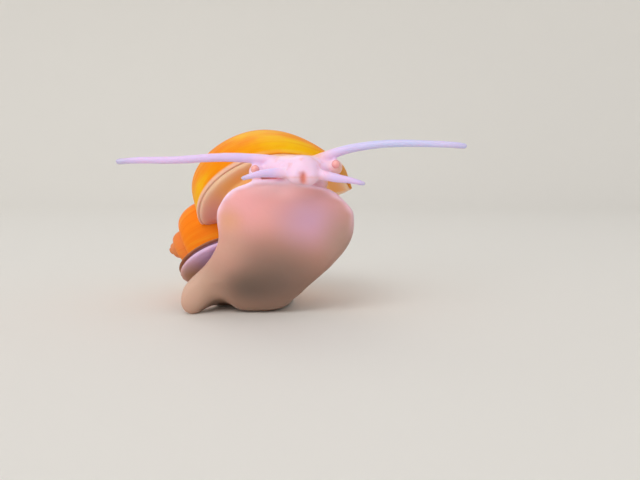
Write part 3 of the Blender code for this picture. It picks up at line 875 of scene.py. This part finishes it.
spot_group, start, end = new_group(
    "Soft spot",
    (("Place", "NodeSocketVector", None), ("Centre", "NodeSocketVector", (0.0, 0.0, 0.0)),
     ("Radii", "NodeSocketVector", (1.0, 1.0, 1.0))),
    (("Mask", "NodeSocketFloat"),),
)
offset = add_node(spot_group, "ShaderNodeVectorMath", {"operation": "SUBTRACT"})
spot_group.links.new(start.outputs["Place"], offset.inputs[0])
spot_group.links.new(start.outputs["Centre"], offset.inputs[1])
shares = add_node(spot_group, "ShaderNodeVectorMath", {"operation": "DIVIDE"})
spot_group.links.new(offset.outputs[0], shares.inputs[0])
spot_group.links.new(start.outputs["Radii"], shares.inputs[1])
reach = add_node(spot_group, "ShaderNodeVectorMath", {"operation": "LENGTH"})
spot_group.links.new(shares.outputs[0], reach.inputs[0])
spot_group.links.new(remap(spot_group, reach.outputs["Value"], 1.0, 0.0), end.inputs["Mask"])


def spot(tree, place, centre, radii, base, colour):
    """The base with a soft patch of another colour; centre and radii are in millimetres."""
    centre = Vector(centre) * MM - FRAME_ORIGIN
    node = add_node(tree, "ShaderNodeGroup", {"node_tree": spot_group}, Place=place,
                    Centre=centre, Radii=Vector(radii) * MM)
    return blend(tree, node.outputs["Mask"], base, colour)


def mottle(tree, place, scale, first, second, rarity, softness=0.16):
    node = add_node(tree, "ShaderNodeGroup", {"node_tree": mottle_group}, Place=place,
                    Scale=scale, Colour=first, Patch_colour=second, Rarity=rarity,
                    Softness=softness)
    return node.outputs["Colour"]


def grain_height(tree, place, scale):
    return add_node(tree, "ShaderNodeGroup", {"node_tree": grain_group}, Place=place,
                    Scale=scale).outputs["Height"]


def emboss(tree, shader, height, strength, distance):
    bump = add_node(tree, "ShaderNodeBump", Height=height, Strength=strength, Distance=distance)
    tree.links.new(bump.outputs["Normal"], shader.inputs["Normal"])


print("shared effects:", mottle_group.name, spot_group.name, grain_group.name)

# %% [markdown]
# ### Gold shell
#
# The shell is amber yellow with lighter yellow patches, a painted glow that stands for light
# shining through the thin shell, and deeper orange towards the old turns of the spire. Growth
# lines run across the tube, so they are a noise on the stored turn, stretched along the lip. The
# rim of the lip is new, pale and pinkish, partly its own colour and partly a painted highlight,
# and behind it the inside is a warm tan. A duller tan patch on the right is painted shade. The
# surface is horny and a little glossy, not mirror-like.

# %% Gold shell
gold, tree, shader = new_finish("gold_shell")
place = object_place(tree)
chart = add_node(tree, "ShaderNodeUVMap", {"uv_map": "UVMap"})
parts = add_node(tree, "ShaderNodeSeparateXYZ", Vector=chart.outputs[0])
turns = parts.outputs[1]
around = maths(tree, "MULTIPLY", parts.outputs[0], math.tau)


def wound(tree, per_turn, per_ring):
    """A place that runs along the tube and round it, and meets itself after one round."""
    node = add_node(tree, "ShaderNodeCombineXYZ")
    radius = per_ring / math.tau
    for index, value in enumerate((
        maths(tree, "MULTIPLY", turns, per_turn),
        maths(tree, "MULTIPLY", maths(tree, "COSINE", around), radius),
        maths(tree, "MULTIPLY", maths(tree, "SINE", around), radius),
    )):
        tree.links.new(value, node.inputs[index])
    return node.outputs[0]


# The lighter yellow patches of this mottle are painted glow, standing for light shining through the
# shell.
base = mottle(tree, wound(tree, 13.0, 5.0), 1.0, paint(255, 142, 0), paint(255, 198, 4), 0.4, 0.34)
base = blend(tree, remap(tree, turns, 0.5, 1.0), base, paint(255, 136, 26))
base = blend(tree, remap(tree, turns, 1.3, 2.6), base, paint(222, 138, 92))
lines = add_node(tree, "ShaderNodeTexNoise", Vector=wound(tree, 60.0, 1.6), Scale=1.0,
                 Detail=6.0, Roughness=0.65)
growth = lines.outputs[0]
base = blend(tree, remap(tree, growth, 0.5, 0.72, 0.0, 0.3), base, paint(236, 106, 0))
base = blend(tree, remap(tree, growth, 0.48, 0.3, 0.0, 0.25), base, paint(255, 204, 60))
inside = remap(tree, turns, 0.0, -0.006)
base = blend(tree, inside, base, paint(246, 172, 110))
# The pale pinkish rim of the lip, stronger on the left, is partly the new lip's own colour and
# partly a painted highlight.
rim = maths(tree, "MULTIPLY", remap(tree, turns, -0.02, -0.004), remap(tree, turns, 0.008, 0.002))
sides = add_node(tree, "ShaderNodeSeparateXYZ", Vector=place)
left = remap(tree, sides.outputs[0], 0.0, -8.0 * MM, 0.1, 1.0)
base = blend(tree, maths(tree, "MULTIPLY", rim, left), base, paint(250, 196, 170))
# Painted shade: a duller tan patch on the right side of the body whorl.
base = spot(tree, place, (18.0, 12.0, 32.0), (8.0, 12.0, 8.0), base, paint(212, 142, 60))
tree.links.new(base, shader.inputs["Base Color"])
tree.links.new(remap(tree, growth, 0.3, 0.7, 0.34, 0.46), shader.inputs["Roughness"])
emboss(tree, shader, growth, 0.4, 0.2 * MM)
shader.inputs["Coat Weight"].default_value = 0.02
shader.inputs["Coat Roughness"].default_value = 0.25
shader.inputs["Specular IOR Level"].default_value = 0.04
shader.inputs["Subsurface Weight"].default_value = 0.2
shader.inputs["Subsurface Radius"].default_value = (1.0, 0.45, 0.15)
shader.inputs["Subsurface Scale"].default_value = 2.5 * MM
shell.data.materials.append(gold)

# %% [markdown]
# ### Wet skin
#
# The flesh is moist and lets light in, so it takes some subsurface scattering and a thin wet
# coat. The marks on the skin choose the colour. The sole is painted as a portrait painter would
# lay in a cheek: one mid colour first, darker low down, and then a few broad soft spots, a clear
# pink at the top, a lavender bloom on the right, cream on the side lobe and a dusky patch low in
# the middle. The darkening low down and the dusky patch are partly the sole's own colour and
# partly painted shade. A duller spot on the turned-back right side is painted shade, a
# near-white spot at the top is painted light against the head's shadow, and the pale margin is
# a painted highlight.

# %% Wet skin
wet, tree, shader = new_finish("wet_skin")
place = object_place(tree)
parts = add_node(tree, "ShaderNodeSeparateXYZ", Vector=place)
mark = {name: add_node(tree, "ShaderNodeAttribute", {"attribute_name": name}).outputs["Fac"]
        for name in MARKS}
flank = mottle(tree, place, 700.0, paint(236, 176, 160), paint(226, 160, 142), 0.5)
flank = blend(tree, remap(tree, parts.outputs[2], 22.0 * MM, 2.0 * MM), flank, paint(168, 132, 112))
# Darker low down: partly the sole's own colour, partly painted shade where the sole turns down
# towards the floor.
sole_tone_and_painted_light = blend(tree, remap(tree, parts.outputs[2], 4.0 * MM, 26.0 * MM), paint(172, 132, 112),
             paint(224, 160, 150))
for centre, radii, colour in (
    ((-5.0, 0.0, 26.5), (15.0, 30.0, 11.0), paint(246, 176, 178)),
    ((9.0, 0.0, 22.0), (11.0, 30.0, 9.5), paint(208, 160, 184)),
    # Painted shade on the turned-back right side of the sole.
    ((17.0, 0.0, 16.0), (8.0, 30.0, 13.0), paint(178, 144, 132)),
    ((-9.0, 0.0, 21.5), (5.0, 30.0, 5.0), paint(232, 168, 138)),
    ((-9.0, 0.0, 14.5), (8.0, 30.0, 9.0), paint(218, 166, 148)),
    # These two dusky patches low in the middle are partly the sole's own colour and partly painted
    # shade.
    ((1.5, 0.0, 8.5), (17.5, 30.0, 13.5), paint(132, 106, 94)),
    ((-4.0, 0.0, 6.4), (11.0, 30.0, 6.2), paint(114, 93, 81)),
    ((-18.5, 0.0, 6.5), (11.5, 30.0, 12.0), paint(214, 176, 156)),
    # Painted light: a near-white spot that lifts the shadow the head casts on the top of the sole.
    ((3.0, 0.0, 29.6), (13.0, 30.0, 4.0), paint(255, 200, 204)),
):
    sole_tone_and_painted_light = spot(tree, place, centre, radii, sole_tone_and_painted_light, colour)
base = blend(tree, mark["sole"], flank, sole_tone_and_painted_light)
# Painted highlight along the sole's rounded margin.
base = blend(tree, maths(tree, "MULTIPLY", mark["margin_highlight"], 0.95), base, paint(255, 222, 246))
base = spot(tree, place, (6.0, 4.5, 36.0), (14.0, 5.5, 6.0), base, paint(252, 184, 142))
mantle = spot(tree, place, (-14.0, 8.0, 22.0), (10.0, 30.0, 9.0), paint(255, 188, 110),
              paint(238, 170, 162))
base = blend(tree, mark["mantle"], base, mantle)
collar = spot(tree, place, (-14.0, 8.0, 20.0), (12.0, 30.0, 12.0), paint(255, 212, 174),
              paint(238, 180, 166))
base = blend(tree, mark["collar"], base, collar)
pad = spot(tree, place, (-19.0, 8.0, 8.0), (9.0, 30.0, 6.0), paint(224, 190, 226),
           paint(200, 152, 120))
base = blend(tree, mark["pad"], base, pad)
lilac = mottle(tree, place, 500.0, paint(254, 216, 246), paint(250, 200, 222), 0.55)
base = blend(tree, mark["head"], base, lilac)
base = spot(tree, place, (7.0, 0.0, 37.2), (9.0, 6.0, 2.6), base, paint(252, 190, 150))
base = spot(tree, place, (15.6, -1.2, 33.4), (3.6, 4.0, 3.4), base, paint(246, 190, 172))
# A salmon strip in the crease under the lips: partly the neck's own colour, partly painted shade.
base = spot(tree, place, (2.0, -0.6, 31.5), (8.0, 2.4, 1.5), base, paint(240, 150, 158))
feeler_tint = blend(tree, remap(tree, mark["feeler"], 0.75, 1.0), paint(230, 206, 254),
                    paint(198, 196, 230))
feeler_tint = spot(tree, place, (30.0, -1.0, 38.0), (24.0, 8.0, 6.0), feeler_tint,
                   paint(206, 212, 255))
base = blend(tree, remap(tree, mark["feeler"], 0.05, 0.3), base, feeler_tint)
base = blend(tree, mark["mouth"], base, paint(240, 150, 134))
tree.links.new(base, shader.inputs["Base Color"])
shader.inputs["Roughness"].default_value = 0.42
shader.inputs["Coat Weight"].default_value = 0.22
shader.inputs["Coat Roughness"].default_value = 0.2
shader.inputs["Specular IOR Level"].default_value = 0.35
shader.inputs["Subsurface Weight"].default_value = 0.35
shader.inputs["Subsurface Radius"].default_value = (1.0, 0.4, 0.3)
shader.inputs["Subsurface Scale"].default_value = 1.5 * MM
emboss(tree, shader, grain_height(tree, place, 900.0), 0.25, 0.1 * MM)
skin.data.materials.append(wet)

# %% [markdown]
# ### Horn and eyes
#
# The lid is horn laid down in rings: pale violet-tan in the middle and dark brown at the rim. The
# eyes are pink-orange with a clear wet coat.

# %% Horn and eyes
horn, tree, shader = new_finish("ringed_horn")
place = object_place(tree)
chart = add_node(tree, "ShaderNodeUVMap", {"uv_map": "UVMap"})
parts = add_node(tree, "ShaderNodeSeparateXYZ", Vector=chart.outputs[0])
swing = maths(tree, "MULTIPLY", maths(tree, "SUBTRACT", parts.outputs[1], 0.5), math.pi)
reach = maths(tree, "POWER", maths(tree, "COSINE", swing), 0.5)
base = mottle(tree, place, 350.0, paint(206, 170, 200), paint(186, 146, 140), 0.5)
ring = maths(tree, "SINE", maths(tree, "MULTIPLY", reach, RING_WAVES))
base = blend(tree, remap(tree, ring, 0.2, 1.0, 0.0, 0.4), base, paint(134, 96, 70))
base = blend(tree, remap(tree, reach, 0.84, 0.93), base, paint(164, 104, 66))
tree.links.new(base, shader.inputs["Base Color"])
shader.inputs["Roughness"].default_value = 0.42
shader.inputs["Coat Weight"].default_value = 0.3
emboss(tree, shader, grain_height(tree, place, 700.0), 0.3, 0.1 * MM)
lid.data.materials.append(horn)

pink, tree, shader = new_finish("eye_pink")
place = object_place(tree)
base = mottle(tree, place, 900.0, paint(252, 172, 168), paint(255, 192, 184), 0.5)
tree.links.new(base, shader.inputs["Base Color"])
shader.inputs["Roughness"].default_value = 0.12
shader.inputs["Coat Weight"].default_value = 1.0
shader.inputs["Coat Roughness"].default_value = 0.03
for name in ("eye_left_bead", "eye_right_bead"):
    bpy.data.objects[name].data.materials.append(pink)
print("finishes:", ", ".join(sorted(material.name for material in bpy.data.materials)))

# %% [markdown]
# ## Floor, light and camera
#
# The floor is a wide pale bowl, flat in the middle and rising smoothly all round, so there is no
# horizon line from any side. It is one more bent sheet, wound round the middle. Three soft
# lights stand inside it: a broad one above and in front, a weaker one low on the left that reaches
# into the mouth of the shell, and a faint one from behind.

# %% Floor
FLOOR_FLAT = 0.8
FLOOR_BEND = 0.5
FLOOR_WALL = 0.4


def floor_place(u, v):
    bend_length = FLOOR_BEND * math.pi / 2
    run = v * (FLOOR_FLAT + bend_length + FLOOR_WALL)
    turn = min(max(run - FLOOR_FLAT, 0.0) / FLOOR_BEND, math.pi / 2)
    rise = max(run - FLOOR_FLAT - bend_length, 0.0)
    out = min(run, FLOOR_FLAT) + FLOOR_BEND * math.sin(turn)
    height = FLOOR_BEND * (1.0 - math.cos(turn)) + rise
    return Vector((out * math.cos(math.tau * u), out * math.sin(math.tau * u), height))


bowl = bent_sheet(96, 80, floor_place)
bmesh.ops.recalc_face_normals(bowl, faces=bowl.faces)
if sum(face.normal.z * face.calc_area() for face in bowl.faces) < 0.0:
    bmesh.ops.reverse_faces(bowl, faces=bowl.faces)
floor = piece_from("floor_bowl", bowl)
matt, tree, shader = new_finish("pale_floor")
shader.inputs["Base Color"].default_value = paint(230, 228, 224)
shader.inputs["Roughness"].default_value = 0.7
floor.data.materials.append(matt)

# %% [markdown]
# All three lights are square and aim at the middle of the snail, just above the floor. The key is
# the strongest and a little warm, and an even white world fills the shadows.

# %% Lights
def soft_light(name, place, aim, size, power, tint=(1.0, 1.0, 1.0)):
    lamp = bpy.data.lights.new(name, "AREA")
    lamp.size = size
    lamp.energy = power
    lamp.color = tint
    made = bpy.data.objects.new(name, lamp)
    bpy.context.scene.collection.objects.link(made)
    made.location = place
    made.rotation_euler = (Vector(aim) - Vector(place)).to_track_quat("-Z", "Y").to_euler()


middle = (0.0, 0.0, 0.02)
soft_light("key", (-0.45, -1.05, 1.1), middle, 0.9, 9.5, (1.0, 0.97, 0.94))
soft_light("fill", (-0.75, -0.9, 0.28), middle, 0.6, 2.0)
soft_light("rim", (-0.3, 1.0, 1.1), middle, 0.7, 2.0, (1.0, 0.95, 0.86))
world = bpy.data.worlds.new("studio")
world.use_nodes = True
world.node_tree.nodes["Background"].inputs["Color"].default_value = (1.0, 1.0, 1.0, 1.0)
world.node_tree.nodes["Background"].inputs["Strength"].default_value = 0.6
bpy.context.scene.world = world

# %% [markdown]
# The camera stands 29 mm above the floor, close to the snail, and looks 5 degrees down at the
# sole. It is as wide as a phone's: 56 degrees from side to side.

# %% Camera
CAMERA_PLACE = Vector((11.4, -134.8, 29.2)) * MM - FRAME_ORIGIN
CAMERA_DOWN = math.radians(5)
CAMERA_HALF_REACH = 8 / 15
CAMERA_WIDTH = 2 * math.atan(CAMERA_HALF_REACH)

lens = bpy.data.cameras.new("camera")
lens.sensor_fit = "HORIZONTAL"
lens.angle = CAMERA_WIDTH
lens.clip_start = 1.0 * MM
camera = bpy.data.objects.new("camera", lens)
bpy.context.scene.collection.objects.link(camera)
camera.location = CAMERA_PLACE
camera.rotation_euler = (math.radians(90) - CAMERA_DOWN, 0.0, 0.0)
bpy.context.scene.camera = camera
bpy.context.scene.view_settings.view_transform = "Standard"
print("camera at", [round(value / MM, 1) for value in CAMERA_PLACE], "mm")
